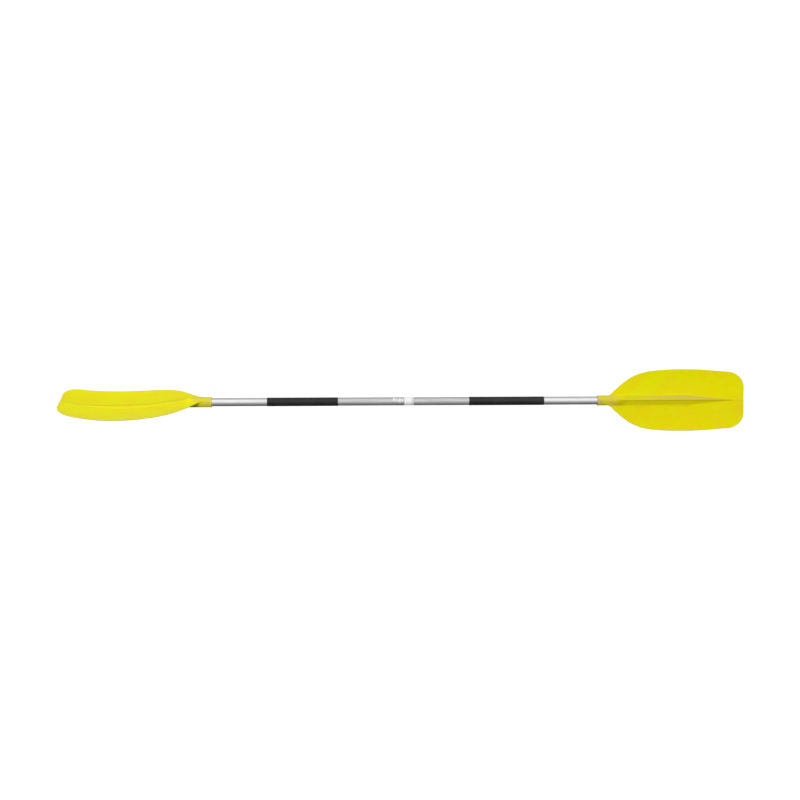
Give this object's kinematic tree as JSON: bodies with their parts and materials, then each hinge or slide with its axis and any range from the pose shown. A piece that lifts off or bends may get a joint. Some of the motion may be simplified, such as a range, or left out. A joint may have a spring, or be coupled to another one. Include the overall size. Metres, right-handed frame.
{
  "type": "kayak paddle",
  "caption": "Take-apart kayak paddle: feathered spoon blades with moulded sockets, aluminium shaft, sleeve grips and a ferrule joint locked by a sprung button.",
  "frame": {"origin": "on the shaft's axis, halfway between the blade tips, which is the middle of the bounding box to within a few millimetres", "axes": "+X along the shaft from the left blade (female half) to the right blade (ferrule half); +Z out of the right blade's power face; +Y across the right blade"},
  "size_m": [2.134, 0.1954, 0.1787],
  "materials": {
    "blade_plastic": "satin moulded polypropylene, bright yellow",
    "shaft_aluminium": "drawn tube, bright at the ends and satin between the grips",
    "ferrule_aluminium": "plain drawn tube",
    "grip_sleeve": "black shrunk-on sleeve, satin",
    "joint_plastic": "white nylon, satin",
    "rivet_aluminium": "set blind rivet",
    "spring_steel": "nickel-plated spring steel",
    "plug_foam": "closed-cell foam",
    "label_film": "pale clear film, plain"
  },
  "bodies": {
    "left_half": {"blade_left": "blade_plastic", "blade_rivet_left_front": "rivet_aluminium", "blade_rivet_left_back": "rivet_aluminium", "shaft_left": "shaft_aluminium", "grip_left": "grip_sleeve", "blade_plug_left": "plug_foam", "foam_plug_left": "plug_foam", "socket_bushing": "joint_plastic", "shaft_label": "label_film"},
    "joint_ring": {"joint_ring": "joint_plastic"},
    "right_half": {"blade_right": "blade_plastic", "blade_rivet_right_front": "rivet_aluminium", "blade_rivet_right_back": "rivet_aluminium", "shaft_right": "shaft_aluminium", "grip_right": "grip_sleeve", "blade_plug_right": "plug_foam", "foam_plug_right": "plug_foam", "ferrule_bushing": "joint_plastic", "ferrule_tube": "ferrule_aluminium", "ferrule_cap": "joint_plastic", "ferrule_rivet_1": "rivet_aluminium", "ferrule_rivet_2": "rivet_aluminium"},
    "snap_button": {"snap_clip": "spring_steel"}
  },
  "joints": [
    {"name": "pull_apart", "type": "slide", "parent": "left_half", "child": "joint_ring", "axis": [1, 0, 0], "range_m": [0, 0.14]},
    {"name": "feather", "type": "hinge", "parent": "joint_ring", "child": "right_half", "pos_m": [0.021, 0, 0], "axis": [1, 0, 0], "range_deg": [-130, 0]},
    {"name": "button_press", "type": "slide", "parent": "right_half", "child": "snap_button", "axis": [0, -0.766, 0.6428], "range_m": [0, 0.005], "stiffness_N_per_m": 2500, "springref_m": -0.001, "deforming": ["snap_clip"]}
  ]
}
